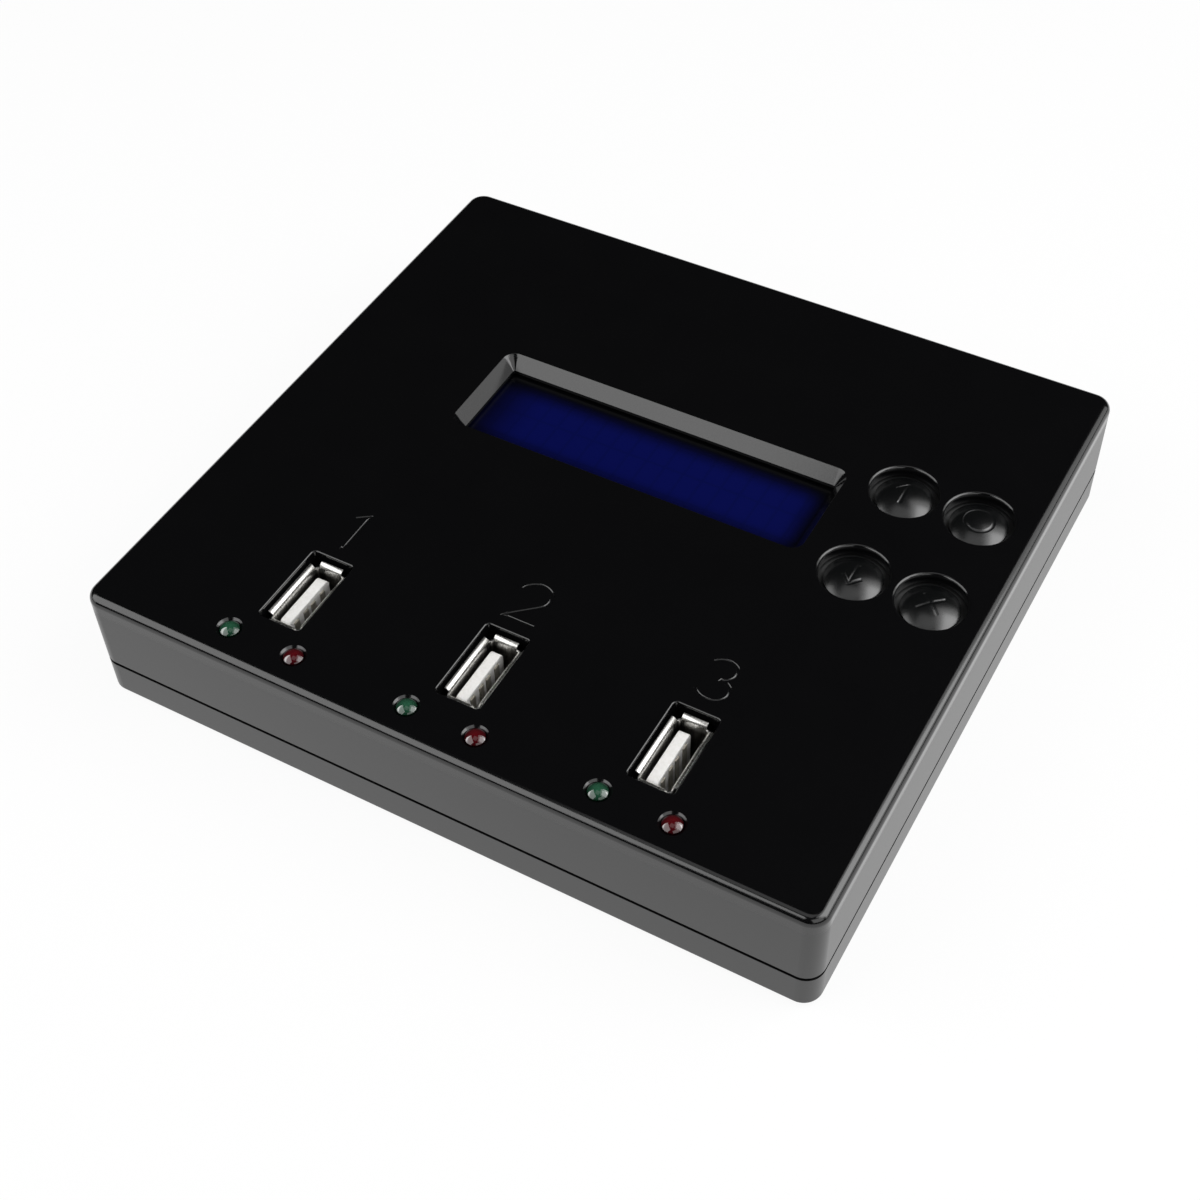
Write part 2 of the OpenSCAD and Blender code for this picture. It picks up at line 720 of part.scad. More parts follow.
// Four contact strips of one socket, in the tongue's slots
module usb_contacts(i) color("#d9b65a") translate([port_x[i] + contact_x, port_y, 0])
  for (y = contact_y) translate([0, y - contact_w / 2, 0]) {
    translate([0, 0, board_bottom]) cube([contact_t, contact_w, contact_top - board_bottom]);
    translate([0, contact_w / 4, pin_end]) cube([contact_t, contact_w / 2, board_bottom - pin_end + eps]);
  }

// Round indicator light: flange, barrel and dome
module led(x, tint) color(tint) translate([x, led_y, led_base]) {
  rotate_extrude() {
    square([led_flange_r, led_flange_t]);
    square([led_r, led_shoulder]);
    intersection() {
      translate([0, led_h - led_dome_r]) circle(led_dome_r);
      translate([0, led_shoulder]) square([led_r, led_dome + over]);
    }
  }
}

module led_spacers() color("#d8d8d2")
  for (x = led_x) translate([x, led_y, 0]) difference() {
    translate([0, 0, board_top]) cylinder(h = led_base - board_top, r = led_flange_r);
    for (i = [-1, 1]) translate([i * lead_pitch / 2, 0, (board_top + led_base) / 2])
      cube([lead_t + fit_gap, lead_t + fit_gap, led_base - board_top + over], center = true);
  }

module led_leads() color("#c3c6ca")
  for (x = led_x, i = [-1, 1])
    translate([x + i * lead_pitch / 2 - lead_t / 2, led_y - lead_t / 2, pin_end])
      cube([lead_t, lead_t, led_base - pin_end]);

// Domed key: cap, retaining flange and the stem that rests on the switch
module key(i) color("#151617") translate(key_places[i]) {
  rotate_extrude() {
    intersection() {
      translate([0, key_top - dome_r]) circle(dome_r);
      translate([0, key_rim - key_skirt]) square([key_r, key_dome + key_skirt + over]);
    }
    difference() {
      union() {
        translate([0, flange_top - key_t])
          square([key_r, key_rim - key_skirt - flange_top + key_t + eps]);
        translate([0, flange_top - key_t]) square([flange_r, key_t]);
      }
      translate([stem_r, flange_top - key_t - over])
        square([key_r - key_t - stem_r, key_t + over + eps]);
    }
    translate([0, plunger_top]) square([stem_r, flange_top - plunger_top]);
  }
}

module plunger(i) color("#1c1c1c") translate(key_places[i])
  translate([0, 0, plunger_bottom]) cylinder(h = plunger_top - plunger_bottom, r = plunger_r);

// Tactile switch with a well for its plunger
module switch_body(i) color("#2b2c2e") translate(key_places[i]) difference() {
  translate([-switch_w / 2, -switch_w / 2, board_top]) cube([switch_w, switch_w, switch_h]);
  translate([0, 0, plunger_well]) cylinder(h = switch_h + over, r = plunger_r + plunger_gap);
}

// Bent legs of the four switches, along their left and right sides
module switch_legs() color("#c3c6ca")
  at_each(key_places) for (i = [-1, 1], j = [-1, 1])
    translate([i * (switch_w + leg_t) / 2 - leg_t / 2, j * leg_y - leg_w / 2, pin_end])
      cube([leg_t, leg_w, board_top + leg_h - pin_end]);

module jack_housing() color("#111213") translate([jack_x, jack_y, 0]) {
  difference() {
    union() {
      translate([-jack_w / 2, -jack_flange_l, board_top]) cube([jack_w, jack_flange_l, jack_h]);
      translate([-jack_w / 2, -jack_len, board_top])
        cube([jack_w, jack_len - jack_flange_l + eps, jack_axis]);
      translate([0, -jack_flange_l + eps, jack_z]) rotate([90, 0, 0])
        cylinder(h = jack_len - jack_flange_l + eps, d = jack_barrel_d);
      translate([0, jack_nose, jack_z]) rotate([90, 0, 0])
        cylinder(h = jack_nose + eps, d = jack_hole_d - 2 * fit_gap);
    }
    translate([0, jack_nose + over, jack_z]) rotate([90, 0, 0])
      cylinder(h = jack_bore_l + over, d = jack_bore_d);
    translate([0, jack_nose - jack_bore_l + over, jack_z]) rotate([90, 0, 0])
      cylinder(h = jack_len, d = jack_pin_d + fit_gap);
  }
}

module jack_pin() color("#c3c6ca") translate([jack_x, jack_y - jack_len, jack_z])
  rotate([-90, 0, 0]) cylinder(h = jack_len - jack_pin_sink, d = jack_pin_d);

module jack_contact() color("#c3c6ca")
  translate([jack_x - jack_contact_w / 2, jack_y - jack_len - jack_contact_t, pin_end])
    cube([jack_contact_w, jack_contact_t, jack_z - pin_end]);

// Flat chip package of a given width and depth, seated on its leads
module chip(at, w, d, h)
  translate([at[0] - w / 2, at[1] - d / 2, board_top + chip_seat]) cube([w, d, h]);

// One bent lead at the origin, running out along +X; its sizes are reach, width and rise
module chip_lead(sizes) {
  reach = sizes[0];
  rise = sizes[2];
  bend = reach / 2;
  t = chip_lead_t;
  translate([0, sizes[1] / 2, 0]) rotate([90, 0, 0]) linear_extrude(sizes[1])
    polygon([[0, rise], [bend, rise], [bend, 0], [reach, 0], [reach, t],
             [bend + t, t], [bend + t, rise + t], [0, rise + t]]);
}

module controller_chip() color("#1b1b1d") chip(controller_at, controller_w, controller_w, controller_h);

module controller_leads() color("#b9bcc0")
  translate([controller_at[0], controller_at[1], board_top])
    for (a = [0:90:270], i = [0:controller_pins - 1]) rotate([0, 0, a])
      translate([controller_w / 2, (i - (controller_pins - 1) / 2) * controller_pitch, 0])
        chip_lead(controller_lead);

module memory_chip() color("#1b1b1d") chip(memory_at, memory_w, memory_d, memory_h);

module memory_leads() color("#b9bcc0")
  translate([memory_at[0], memory_at[1], board_top])
    for (a = [0, 180], i = [0:memory_pins - 1]) rotate([0, 0, a])
      translate([memory_w / 2, (i - (memory_pins - 1) / 2) * memory_pitch, 0])
        chip_lead(memory_lead);

module crystal() color("#c9ccd0") translate([crystal_at[0], crystal_at[1], 0])
  round_block(crystal_w, crystal_d, crystal_r, board_top, board_top + crystal_h);

// Capacitor cans with the crimp round their foot
module capacitors() color("#33363c")
  for (x = capacitor_x) translate([x, power_y, board_top]) rotate_extrude() difference() {
    square([capacitor_r, capacitor_h]);
    translate([capacitor_r, crimp_z]) circle(crimp_r);
  }

module inductor() color("#2f2f31") translate([inductor_x, power_y, 0])
  round_block(inductor_w, inductor_w, inductor_r, board_top, board_top + inductor_h);

upper_case();
lower_case();
main_board();
case_screws();
board_screws();
feet();
lcd_board();
lcd_frame();
lcd_glass();
lcd_backlight();
lcd_header();
lcd_pins();
lcd_screws();
usb_shell(0);  // usb_shell_1
usb_shell(1);  // usb_shell_2
usb_shell(2);  // usb_shell_3
usb_insulator(0);  // usb_insulator_1
usb_insulator(1);  // usb_insulator_2
usb_insulator(2);  // usb_insulator_3
usb_contacts(0);  // usb_contacts_1
usb_contacts(1);  // usb_contacts_2
usb_contacts(2);  // usb_contacts_3
led(green_x[0], "#1d6b45");  // led_green_1
led(green_x[1], "#1d6b45");  // led_green_2
led(green_x[2], "#1d6b45");  // led_green_3
led(red_x[0], "#8a1424");  // led_red_1
led(red_x[1], "#8a1424");  // led_red_2
led(red_x[2], "#8a1424");  // led_red_3
led_spacers();
led_leads();
key(0);  // key_up
key(1);  // key_circle
key(2);  // key_down
key(3);  // key_cross
plunger(0);  // plunger_up
plunger(1);  // plunger_circle
plunger(2);  // plunger_down
plunger(3);  // plunger_cross
switch_body(0);  // switch_up
switch_body(1);  // switch_circle
switch_body(2);  // switch_down
switch_body(3);  // switch_cross
switch_legs();
jack_housing();
jack_pin();
jack_contact();
controller_chip();
controller_leads();
memory_chip();
memory_leads();
crystal();
capacitors();
inductor();
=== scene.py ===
import bpy
from math import cos, radians, sin, sqrt
from mathutils import Matrix, Vector


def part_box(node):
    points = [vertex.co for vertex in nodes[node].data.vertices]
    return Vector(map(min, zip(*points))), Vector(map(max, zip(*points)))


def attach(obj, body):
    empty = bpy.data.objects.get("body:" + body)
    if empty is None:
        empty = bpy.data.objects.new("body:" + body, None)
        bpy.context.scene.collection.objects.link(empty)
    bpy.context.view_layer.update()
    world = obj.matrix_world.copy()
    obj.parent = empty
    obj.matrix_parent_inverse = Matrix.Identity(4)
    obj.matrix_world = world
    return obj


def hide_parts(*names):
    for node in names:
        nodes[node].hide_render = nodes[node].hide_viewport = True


# A flat desktop USB flash drive duplicator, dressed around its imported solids. Metres, +Z up, front at -Y.
# Sizes in the dictionaries of the pieces and of their looks are in millimetres, and angles in degrees.
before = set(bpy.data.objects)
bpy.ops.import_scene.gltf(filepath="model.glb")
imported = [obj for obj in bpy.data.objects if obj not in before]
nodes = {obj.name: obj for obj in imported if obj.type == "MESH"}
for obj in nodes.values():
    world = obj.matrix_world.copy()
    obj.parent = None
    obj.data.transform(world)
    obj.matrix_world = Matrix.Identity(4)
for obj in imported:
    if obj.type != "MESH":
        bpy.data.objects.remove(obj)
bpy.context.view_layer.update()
mm = 0.001
hair = 0.002 * mm  # points closer together than this count as one level
keyNames = ["up", "circle", "down", "cross"]
socketNumbers = [1, 2, 3]
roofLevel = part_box("upper_case")[1].z
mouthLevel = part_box("usb_shell_1")[1].z
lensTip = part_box("led_green_1")[1].z
print("frame loaded:", len(nodes), "nodes")


# Small helpers

def toLinear(code):  # sRGB hex to a linear colour
    parts = [int(code[i:i + 2], 16) / 255 for i in (1, 3, 5)]
    return [c / 12.92 if c <= 0.04045 else ((c + 0.055) / 1.055) ** 2.4 for c in parts] + [1]


def clearSelection():  # object mode, with nothing selected
    if bpy.context.object and bpy.context.object.mode != "OBJECT":
        bpy.ops.object.mode_set(mode="OBJECT")
    bpy.ops.object.select_all(action="DESELECT")


def pick(piece):  # only this piece is selected and active
    clearSelection()
    piece.select_set(True)
    bpy.context.view_layer.objects.active = piece


def named(name):  # names the piece that was just added
    piece = bpy.context.object
    piece.name = name
    piece.data.name = name
    return piece


def selectEdges(piece, test):  # selects the edges of an edited mesh whose two ends pass the test
    bpy.ops.mesh.select_mode(type="EDGE")
    bpy.ops.mesh.select_all(action="DESELECT")
    bpy.ops.object.mode_set(mode="OBJECT")
    mesh = piece.data
    for edge in mesh.edges:
        edge.select = all(test(mesh.vertices[i].co) for i in edge.vertices)
    bpy.ops.object.mode_set(mode="EDIT")


weld = {"gap": 0.0005, "bend": 0.2}


def welded(nodeName, pieceName):  # copy of a CAD node's mesh with its loose triangles joined
    piece = bpy.data.objects.new(pieceName, nodes[nodeName].data.copy())
    piece.data.name = pieceName
    piece.data.materials.clear()
    bpy.context.scene.collection.objects.link(piece)
    pick(piece)
    if piece.data.has_custom_normals:
        bpy.ops.mesh.customdata_custom_splitnormals_clear()
    bpy.ops.object.mode_set(mode="EDIT")
    bpy.ops.mesh.select_all(action="SELECT")
    bpy.ops.mesh.remove_doubles(threshold=weld["gap"] * mm)
    bpy.ops.mesh.dissolve_limited(angle_limit=radians(weld["bend"]))
    bpy.ops.object.mode_set(mode="OBJECT")
    return piece


def useModifier(piece, kind, **settings):  # adds a modifier and applies it at once
    pick(piece)
    modifier = piece.modifiers.new(kind.lower(), kind)
    for key, value in settings.items():
        setattr(modifier, key, value)
    bpy.ops.object.modifier_apply(modifier=modifier.name)


def carve(piece, cutter):  # takes the cutter's shape out of the piece
    useModifier(piece, "BOOLEAN", operation="DIFFERENCE", object=cutter, solver="EXACT", use_self=True)
    bpy.data.objects.remove(cutter)


def smooth(piece, angle=32):
    pick(piece)
    bpy.ops.object.shade_smooth_by_angle(angle=radians(angle))


def arc(x, y, rx, ry, start, end, steps=16):  # points along part of an ellipse
    turns = [radians(start + (end - start) * i / steps) for i in range(steps + 1)]
    return [(x + rx * cos(t), y + ry * sin(t)) for t in turns]


def line(a, b, steps=8):  # points along a straight stroke
    return [(a[0] + (b[0] - a[0]) * i / steps, a[1] + (b[1] - a[1]) * i / steps) for i in range(steps + 1)]


def strokeTubes(name, strokes, radius):  # round bars along strokes of 3-D points, for cutting channels
    curve = bpy.data.curves.new(name, "CURVE")
    curve.dimensions = "3D"
    curve.bevel_depth = radius
    curve.bevel_resolution = 10
    curve.use_fill_caps = True
    for stroke in strokes:
        spline = curve.splines.new("POLY")
        spline.points.add(len(stroke) - 1)
        for point, place in zip(spline.points, stroke):
            point.co = (*place, 1)
    tubes = bpy.data.objects.new(name, curve)
    bpy.context.scene.collection.objects.link(tubes)
    pick(tubes)
    bpy.ops.object.convert(target="MESH")
    return bpy.context.object


def channelCutter(width, depth):  # radius of a round bar that cuts this channel, and its axis above the face
    radius = (width ** 2 / 4 + depth ** 2) / (2 * depth)
    return radius * mm, (radius - depth) * mm


def domedPiece(name, top, curve, profile, edge, segments, rings):
    # A dome under its top point, cut off at the profile's first level. Its rim is pulled on through the
    # profile's pairs of radius and level, the end is closed, and the dome's edge is rounded.
    rim = (top.x, top.y, profile[0][1])
    clearSelection()
    bpy.ops.mesh.primitive_uv_sphere_add(segments=segments, ring_count=rings, radius=curve,
                                         location=(top.x, top.y, top.z - curve))
    piece = named(name)
    bpy.ops.object.transform_apply(location=True, rotation=True, scale=True)
    bpy.ops.object.mode_set(mode="EDIT")
    bpy.ops.mesh.select_all(action="SELECT")
    bpy.ops.mesh.bisect(plane_co=rim, plane_no=(0, 0, 1), clear_inner=True)
    selectEdges(piece, lambda co: co.z < rim[2] + hair)
    for (inner, above), (outer, below) in zip(profile, profile[1:]):
        bpy.ops.mesh.extrude_region_move(TRANSFORM_OT_translate={"value": (0, 0, below - above)})
        if outer != inner:
            bpy.ops.transform.resize(value=(outer / inner, outer / inner, 1), center_override=rim)
    bpy.ops.mesh.edge_face_add()
    selectEdges(piece, lambda co: abs(co.z - rim[2]) < hair)
    bpy.ops.mesh.bevel(offset=edge, segments=4, affect="EDGES")
    bpy.ops.mesh.select_all(action="SELECT")
    bpy.ops.mesh.normals_make_consistent(inside=False)
    bpy.ops.object.mode_set(mode="OBJECT")
    return piece


def paint(piece, material):
    piece.data.materials.clear()
    piece.data.materials.append(material)


def dress(piece, body, material, replaced):  # finish, body, slot and what the piece stands for
    paint(piece, material)
    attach(piece, body)
    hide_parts(replaced)


# Parts of the materials

def addNode(tree, kind, links=None, **settings):  # one node with its settings, and links into its inputs
    node = tree.nodes.new(kind)
    for key, value in settings.items():
        if key in node.inputs:
            node.inputs[key].default_value = value
        else:
            setattr(node, key, value)
    for key, source in (links or {}).items():
        tree.links.new(source, node.inputs[key])
    return node


def newMaterial(name):  # an empty material with its shader and the piece's own coordinates
    material = bpy.data.materials.new(name)
    material.use_nodes = True
    tree = material.node_tree
    shader = tree.nodes["Principled BSDF"]
    place = addNode(tree, "ShaderNodeTexCoord").outputs["Object"]
    return material, tree, shader, place


def grainOf(size):  # noise scale for a grain of this size
    return 1 / (size * mm)


def noise(tree, place, size, detail):
    texture = addNode(tree, "ShaderNodeTexNoise", {"Vector": place}, Scale=grainOf(size), Detail=detail)
    return texture.outputs["Fac"]


def heightOf(tree, place):
    return addNode(tree, "ShaderNodeSeparateXYZ", {"Vector": place}).outputs["Z"]


def remap(tree, value, start, end, low=0.0, high=1.0, kind="LINEAR"):  # a value carried to another range
    node = addNode(tree, "ShaderNodeMapRange", {"Value": value}, interpolation_type=kind)
    for key, number in {"From Min": start, "From Max": end, "To Min": low, "To Max": high}.items():
        node.inputs[key].default_value = number
    return node.outputs["Result"]


def twoTone(tree, value, look, start=0.0, end=1.0):  # a colour between the look's dark and its light one
    ramp = addNode(tree, "ShaderNodeValToRGB", {"Fac": value})
    for stop, position, tone in zip(ramp.color_ramp.elements, (start, end), ("dark", "light")):
        stop.position = position
        stop.color = toLinear(look[tone])
    return ramp.outputs["Color"]


def relief(tree, height, strength, depth):  # a normal that follows small hills of this depth
    bump = addNode(tree, "ShaderNodeBump", {"Height": height}, Strength=strength, Distance=depth * mm)
    return bump.outputs["Normal"]


def colourMix(tree, share, colour, base):  # the colour over a plain base one
    mix = addNode(tree, "ShaderNodeMix", {0: share, 7: colour}, data_type="RGBA")
    mix.inputs[6].default_value = toLinear(base)
    return mix.outputs[2]


# Materials, each family with the numbers that its members share
moulded = {"relief": 0.01}
rolled = {"tones": (0.3, 0.7), "uneven": (-0.03, 0.05), "bump": 0.15, "relief": 0.004}
plain = {"tones": (0.35, 0.65), "relief": 0.02}
epoxy = {"depth": 0.9, "swirl": 0.9, "milk": (0.7, 1.1), "roughness": 0.06, "ior": 1.62, "clear": 0.15}


def mouldedAbs(name, look):
    # Injection-moulded black ABS: the top comes off a polished mould face, and the sides off a spark-eroded
    # one, whose fine even grain softens what they reflect
    material, tree, shader, place = newMaterial(name)
    tint = twoTone(tree, noise(tree, place, look["cloud"], 2.0), look)
    grain = relief(tree, noise(tree, place, look["grain"], 3.0), look["bump"], moulded["relief"])
    low, high = (roofLevel - depth * mm for depth in look["polish"])
    rough = remap(tree, heightOf(tree, place), low, high, look["sides"], look["roughness"], "SMOOTHSTEP")
    tree.links.new(tint, shader.inputs["Base Color"])
    tree.links.new(rough, shader.inputs["Roughness"])
    tree.links.new(grain, shader.inputs["Normal"])
    shader.inputs["IOR"].default_value = look["ior"]
    return material


def sheetMetal(name, look):
    # Rolled, stamped and plated sheet: bright, with faint streaks along the rolling direction
    material, tree, shader, place = newMaterial(name)
    scale = [grainOf(size) for size in look["streak"]]
    stretch = addNode(tree, "ShaderNodeMapping", {"Vector": place}, Scale=scale).outputs["Vector"]
    streak = addNode(tree, "ShaderNodeTexNoise", {"Vector": stretch}, Scale=1.0, Detail=4.0).outputs["Fac"]
    colour = twoTone(tree, streak, look, *rolled["tones"])
    if "paintedShade" in look:  # painted shade: the plating is darkened gradually deeper down the drawn tube, where shade falls
        low, high = (mouthLevel - depth * mm for depth in look["bright"])
        bright = remap(tree, heightOf(tree, place), low, high, kind="SMOOTHSTEP")
        colour = colourMix(tree, bright, colour, look["paintedShade"])
    smoothest, roughest = (look["roughness"] + change for change in rolled["uneven"])
    rough = remap(tree, streak, 0.0, 1.0, smoothest, roughest)
    ridges = relief(tree, streak, rolled["bump"], rolled["relief"])
    tree.links.new(colour, shader.inputs["Base Color"])
    tree.links.new(rough, shader.inputs["Roughness"])
    tree.links.new(ridges, shader.inputs["Normal"])
    shader.inputs["Metallic"].default_value = 1.0
    return material


def tintedEpoxy(name, look):
    # Cast epoxy lens: milky resin with dye and a polished dome, with painted shade that darkens it from the
    # tip down towards its foot
    material, tree, shader, place = newMaterial(name)
    # painted shade: the lens colour gets darker lower down, and is lightest at the tip
    rise = remap(tree, heightOf(tree, place), lensTip - epoxy["depth"] * mm, lensTip)
    milk = remap(tree, noise(tree, place, epoxy["swirl"], 1.0), 0.0, 1.0, *epoxy["milk"])
    shadedMilk = addNode(tree, "ShaderNodeMath", {0: rise, 1: milk}, operation="MULTIPLY")
    tree.links.new(twoTone(tree, shadedMilk.outputs["Value"], look), shader.inputs["Base Color"])
    shader.inputs["Roughness"].default_value = epoxy["roughness"]
    shader.inputs["IOR"].default_value = epoxy["ior"]
    shader.inputs["Transmission Weight"].default_value = epoxy["clear"]
    return material


def plainMoulding(name, look):
    # Small moulded or pressed parts: one colour with a slight cloudiness and a fine grain
    material, tree, shader, place = newMaterial(name)
    cloud = noise(tree, place, look["grain"], 4.0)
    tree.links.new(twoTone(tree, cloud, look, *plain["tones"]), shader.inputs["Base Color"])
    tree.links.new(relief(tree, cloud, look["bump"], plain["relief"]), shader.inputs["Normal"])
    shader.inputs["Roughness"].default_value = look["roughness"]
    shader.inputs["IOR"].default_value = look["ior"]
    return material


# The polish fades out between two depths under the roof, and painted shade darkens the plating between two
# depths in the mouth
caseLook = {"dark": "#070708", "light": "#09090a", "grain": 0.12, "cloud": 9, "roughness": 0.14, "sides": 0.3,
            "polish": (3.5, 2.5), "bump": 0.2, "ior": 1.62}
keyLook = {"dark": "#050606", "light": "#08090a", "grain": 0.1, "cloud": 4, "roughness": 0.25, "sides": 0.5,
           "polish": (2.7, 1.7), "bump": 0.1, "ior": 1.74}
# painted shade darkens the shell's plating deep inside the socket mouth
shellLook = {"dark": "#bcbbb7", "light": "#dddcd9", "streak": (0.2, 0.2, 4.0), "roughness": 0.27,
             "paintedShade": "#5a5854", "bright": (2.4, 0.8)}
contactLook = {"dark": "#c4bfb3", "light": "#e2ddd2", "streak": (0.15, 0.3, 2.0), "roughness": 0.6}
tinLook = {"dark": "#9a9b9c", "light": "#c2c3c4", "streak": (0.3, 0.3, 0.3), "roughness": 0.34}
screwLook = {"dark": "#2a2a2c", "light": "#3e3f42", "streak": (0.5, 0.5, 0.5), "roughness": 0.36}
# each lens runs from its dark tone, painted shade towards the foot, to its light tone at the tip
greenLook = {"dark": "#04160c", "light": "#28563f"}
redLook = {"dark": "#1c0205", "light": "#540a11"}
whiteLook = {"dark": "#f1f0ec", "light": "#f9f8f6", "grain": 0.5, "roughness": 0.42, "bump": 0.15, "ior": 1.6}
boardLook = {"dark": "#123f24", "light": "#1d5a35", "grain": 2.5, "roughness": 0.35, "bump": 0.1, "ior": 1.5}
lcdBoardLook = {**boardLook, "dark": "#123a6b", "light": "#1d4f8a"}
frameLook = {"dark": "#030304", "light": "#060607", "grain": 0.6, "roughness": 0.6, "bump": 0.15, "ior": 1.5}
footLook = {"dark": "#161617", "light": "#222223", "grain": 0.35, "roughness": 0.78, "bump": 0.5, "ior": 1.52}
nylonLook = {"dark": "#cfcec5", "light": "#e0dfd8", "grain": 0.8, "roughness": 0.5, "bump": 0.1, "ior": 1.53}
darkLook = {"dark": "#0c0c0d", "light": "#161617", "grain": 0.5, "roughness": 0.46, "bump": 0.25, "ior": 1.53}
chipLook = {"dark": "#101011", "light": "#1a1a1b", "grain": 0.3, "roughness": 0.6, "bump": 0.4, "ior": 1.55}
glowLook = {"dark": "#dfe2e6", "light": "#eef0f2", "grain": 3.0, "roughness": 0.25, "bump": 0.02, "ior": 1.49}
coreLook = {"dark": "#222224", "light": "#343436", "grain": 0.4, "roughness": 0.65, "bump": 0.5, "ior": 1.6}

caseAbs = mouldedAbs("moulded ABS case", caseLook)
keyAbs = mouldedAbs("moulded ABS key", keyLook)
nickelSteel = sheetMetal("nickel plated sheet steel", shellLook)
goldContact = sheetMetal("gold flashed contact strip", contactLook)
tinPlate = sheetMetal("tin plated wire", tinLook)
blackScrew = sheetMetal("black oxide screw steel", screwLook)
greenEpoxy = tintedEpoxy("green dyed epoxy", greenLook)
redEpoxy = tintedEpoxy("red dyed epoxy", redLook)
whitePolymer = plainMoulding("white glass-filled polymer", whiteLook)
greenBoard = plainMoulding("green solder mask", boardLook)
blueBoard = plainMoulding("blue solder mask", lcdBoardLook)
blackPaint = plainMoulding("black painted steel", frameLook)
footRubber = plainMoulding("black rubber", footLook)
naturalNylon = plainMoulding("natural nylon", nylonLook)
blackNylon = plainMoulding("black nylon", darkLook)
chipEpoxy = plainMoulding("black chip epoxy", chipLook)
lightGuide = plainMoulding("white acrylic light guide", glowLook)
ferrite = plainMoulding("grey ferrite", coreLook)
print("materials made:", len(bpy.data.materials))

# Camera, at the photograph's viewing angle
view = {"azimuth": 30.722, "elevation": 48.426, "roll": -2.0555, "lens": 55.90, "sensor": 36, "near": 10,
        "place": (108.63, -190.18, 243.31)}


def outward(azimuth, elevation):  # the direction from the object towards these angles
    az, el = radians(azimuth), radians(elevation)
    return Vector((sin(az) * cos(el), -cos(az) * cos(el), sin(el)))


def addCamera():
    back = outward(view["azimuth"], view["elevation"])
    roll = radians(view["roll"])
    side = Vector((0, 0, 1)).cross(back).normalized()
    up = back.cross(side)
    right = cos(roll) * side + sin(roll) * up
    top = -sin(roll) * side + cos(roll) * up
    camera = bpy.data.objects.new("camera", bpy.data.cameras.new("camera"))
    bpy.context.scene.collection.objects.link(camera)
    camera.data.lens = view["lens"]
    camera.data.sensor_width = view["sensor"]
    camera.data.clip_start = view["near"] * mm
    turn = Matrix((right, top, back)).transposed().to_4x4()
    camera.matrix_world = Matrix.Translation(Vector(view["place"]) * mm) @ turn
    bpy.context.scene.camera = camera


addCamera()

# Upper case: the solid's own shape, with the socket numbers cut as shallow round-bottomed channels
digits = {"height": 8.2, "back": 10.2, "width": 0.7, "depth": 0.11}
digitStrokes = {
    1: [line((-1.9, 2.6), (0.2, 4.1)) + line((0.2, 4.1), (0.2, -4.1)), line((-0.5, -4.1), (0.2, -4.1), 2)],
    2: [arc(0, 1.6, 2.7, 2.5, 165, -25) + line((2.4, 0.4), (-2.8, -4.1)) + line((-2.8, -4.1), (2.9, -4.1))],
    3: [arc(-0.1, 2.1, 2.3, 2.0, 150, -80) + arc(0, -1.9, 2.8, 2.2, 82, -155)],
}


def makeUpperCase():
    piece = welded("upper_case", "upperCase")
    radius, lift = channelCutter(digits["width"], digits["depth"])
    strokes = []
    for number, shapes in digitStrokes.items():
        low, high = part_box(f"usb_shell_{number}")
        socketX = (low.x + high.x) / 2
        digitY = (low.y + high.y) / 2 + (digits["back"] + digits["height"] / 2) * mm
        for shape in shapes:
            strokes.append([(socketX + x * mm, digitY + y * mm, roofLevel + lift) for x, y in shape])
    carve(piece, strokeTubes("digitCutter", strokes, radius))
    smooth(piece)
    useModifier(piece, "WEIGHTED_NORMAL", keep_sharp=True)  # the broad faces stay flat beside the channels
    dress(piece, "case", caseAbs, "upper_case")


makeUpperCase()
print("upper case with its numbers made")

# Keys: low domes with a rounded edge, a flange under the roof and a stem, with a sign cut into each
keySizes = {"cap": 4.8, "dome": 1.25, "edge": 0.3, "skirt": 0.7, "flange": 1.0, "stem": 2.6}
signChannel = {"width": 0.7, "depth": 0.09}
signStrokes = {
    "up": [line((0, -2.4), (0, 2.4)), line((-1.7, 0.6), (0, 2.4)) + line((0, 2.4), (1.7, 0.6))],
    "circle": [arc(0, 0, 2.5, 2.5, 0, 360, 40)],
    "down": [line((0, 2.4), (0, -2.4)), line((-1.7, -0.6), (0, -2.4)) + line((0, -2.4), (1.7, -0.6))],
    "cross": [line((-1.9, -1.9), (1.9, 1.9)), line((-1.9, 1.9), (1.9, -1.9))],
}


def makeKey(sign):
    low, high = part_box("key_" + sign)
    size = {k: v * mm for k, v in keySizes.items()}
    top = Vector(((low.x + high.x) / 2, (low.y + high.y) / 2, high.z))
    flange = (high.x - low.x) / 2
    curve = (size["cap"] ** 2 + size["dome"] ** 2) / (2 * size["dome"])
    rim = high.z - size["dome"]
    shelf = rim - size["skirt"]
    under = shelf - size["flange"]
    profile = [(size["cap"], rim), (size["cap"], shelf), (flange, shelf), (flange, under),
               (size["stem"], under), (size["stem"], low.z)]
    piece = domedPiece("key" + sign.capitalize(), top, curve, profile, size["edge"], segments=96, rings=140)
    radius, lift = channelCutter(signChannel["width"], signChannel["depth"])

    def onDome(x, y):  # a point above the dome's surface, where the cutter's axis runs
        rise = sqrt(curve ** 2 - (x * mm) ** 2 - (y * mm) ** 2)
        return top.x + x * mm, top.y + y * mm, top.z - curve + rise + lift

    strokes = [[onDome(x, y) for x, y in stroke] for stroke in signStrokes[sign]]
    carve(piece, strokeTubes("signCutter", strokes, radius))
    smooth(piece)
    dress(piece, sign + "_key", keyAbs, "key_" + sign)


for sign in keyNames:
    makeKey(sign)
print("keys made")

# Sockets: bent sheet shells and white tongues, whose sharp edges are rounded
socket = {"lip": 0.05, "tongueEdge": 0.07, "sharp": 50, "smooth": 40}


